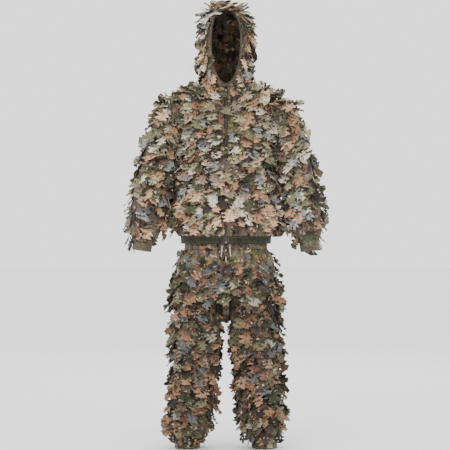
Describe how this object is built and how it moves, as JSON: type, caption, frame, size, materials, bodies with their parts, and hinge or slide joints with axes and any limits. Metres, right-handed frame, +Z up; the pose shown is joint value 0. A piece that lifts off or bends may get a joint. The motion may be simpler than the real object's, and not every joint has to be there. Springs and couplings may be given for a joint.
{
  "type": "ghillie suit",
  "caption": "Two-piece leaf-covered camouflage suit: hooded zip jacket with elastic cuffs and hem, and drawcord trousers with elastic ankles, filled out as when worn.",
  "frame": {"origin": "middle of the trousers' waist opening, level with the waistband's top edge", "axes": "+Z up along the wearer's body, -Y out of the wearer's front, +X to the wearer's left"},
  "size_m": [0.8234, 0.2644, 1.882],
  "materials": {
    "leaf_cloth": "Printed woodland-camouflage polyester mesh under sewn-on laser-cut leaf flaps, matte",
    "cuff_cloth": "Printed camouflage polyester, gathered over elastic, matte",
    "elastic": "Woven ribbed elastic, dark",
    "tape_cloth": "Dark woven polyester tape and lining",
    "cord": "Pale braided polyester cord",
    "metal": "Dark nickel-plated zip hardware, satin"
  },
  "bodies": {
    "trousers": {"waistband": "cuff_cloth", "waist_elastic": "elastic", "waist_drawcord": "cord", "eyelet_left": "metal", "eyelet_right": "metal", "drawcord_end_left": "cord", "drawcord_end_right": "cord", "drawcord_knot_left": "cord", "drawcord_knot_right": "cord", "seat_front_left": "leaf_cloth", "seat_front_right": "leaf_cloth", "seat_back_left": "leaf_cloth", "seat_back_right": "leaf_cloth", "pocket_bag_left": "tape_cloth", "pocket_bag_right": "tape_cloth", "crotch_gusset": "leaf_cloth"},
    "jacket": {"jacket_back": "leaf_cloth", "jacket_front_left": "leaf_cloth", "jacket_front_right": "leaf_cloth", "hem_band": "cuff_cloth", "hem_elastic": "elastic", "neck_band": "tape_cloth", "hanger_loop": "tape_cloth", "zip_tape_left": "tape_cloth", "zip_tape_right": "tape_cloth", "zip_box": "metal"},
    "hood": {"hood_crown": "leaf_cloth", "hood_side_left": "leaf_cloth", "hood_side_right": "leaf_cloth", "hood_face_hem": "cuff_cloth"},
    "slider": {"zip_slider": "metal"},
    "pull": {"zip_pull": "metal"},
    "thigh_left": {"thigh_front_left": "leaf_cloth", "thigh_back_left": "leaf_cloth"},
    "shin_left": {"shin_front_left": "leaf_cloth", "shin_back_left": "leaf_cloth", "ankle_cuff_left": "cuff_cloth", "ankle_elastic_left": "elastic"},
    "upper_sleeve_left": {"upper_sleeve_front_left": "leaf_cloth", "upper_sleeve_back_left": "leaf_cloth"},
    "lower_sleeve_left": {"lower_sleeve_front_left": "leaf_cloth", "lower_sleeve_back_left": "leaf_cloth", "wrist_cuff_left": "cuff_cloth", "wrist_elastic_left": "elastic"},
    "thigh_right": {"thigh_front_right": "leaf_cloth", "thigh_back_right": "leaf_cloth"},
    "shin_right": {"shin_front_right": "leaf_cloth", "shin_back_right": "leaf_cloth", "ankle_cuff_right": "cuff_cloth", "ankle_elastic_right": "elastic"},
    "upper_sleeve_right": {"upper_sleeve_front_right": "leaf_cloth", "upper_sleeve_back_right": "leaf_cloth"},
    "lower_sleeve_right": {"lower_sleeve_front_right": "leaf_cloth", "lower_sleeve_back_right": "leaf_cloth", "wrist_cuff_right": "cuff_cloth", "wrist_elastic_right": "elastic"}
  },
  "joints": [
    {"name": "jacket_lift", "type": "slide", "parent": "trousers", "child": "jacket", "axis": [0, 0, 1], "range_m": [0, 0.25]},
    {"name": "hood_fold", "type": "hinge", "parent": "jacket", "child": "hood", "pos_m": [0, 0.093, 0.641], "axis": [-1, 0, 0], "range_deg": [0, 80]},
    {"name": "zip_slide", "type": "slide", "parent": "jacket", "child": "slider", "axis": [0, -0.0602, -0.9982], "range_m": [0, 0.62]},
    {"name": "zip_pull_swing", "type": "hinge", "parent": "slider", "child": "pull", "pos_m": [0, -0.09454, 0.61541], "axis": [-1, 0, 0], "range_deg": [0, 110]},
    {"name": "hip_left", "type": "hinge", "parent": "trousers", "child": "thigh_left", "pos_m": [0.113, 0, -0.303], "axis": [-1, 0, 0], "range_deg": [0, 45]},
    {"name": "knee_left", "type": "hinge", "parent": "thigh_left", "child": "shin_left", "pos_m": [0.134, 0, -0.62], "axis": [1, 0, 0], "range_deg": [0, 50]},
    {"name": "shoulder_left", "type": "hinge", "parent": "jacket", "child": "upper_sleeve_left", "pos_m": [0.221, 0, 0.507], "axis": [0, -1, 0], "range_deg": [0, 55]},
    {"name": "elbow_left", "type": "hinge", "parent": "upper_sleeve_left", "child": "lower_sleeve_left", "pos_m": [0.307, 0, 0.235], "axis": [-0.9751, 0, -0.2216], "range_deg": [0, 50]},
    {"name": "hip_right", "type": "hinge", "parent": "trousers", "child": "thigh_right", "pos_m": [-0.113, 0, -0.303], "axis": [-1, 0, 0], "range_deg": [0, 45]},
    {"name": "knee_right", "type": "hinge", "parent": "thigh_right", "child": "shin_right", "pos_m": [-0.134, 0, -0.62], "axis": [1, 0, 0], "range_deg": [0, 50]},
    {"name": "shoulder_right", "type": "hinge", "parent": "jacket", "child": "upper_sleeve_right", "pos_m": [-0.221, 0, 0.507], "axis": [0, 1, 0], "range_deg": [0, 55]},
    {"name": "elbow_right", "type": "hinge", "parent": "upper_sleeve_right", "child": "lower_sleeve_right", "pos_m": [-0.307, 0, 0.235], "axis": [-0.9751, 0, 0.2216], "range_deg": [0, 50]}
  ]
}
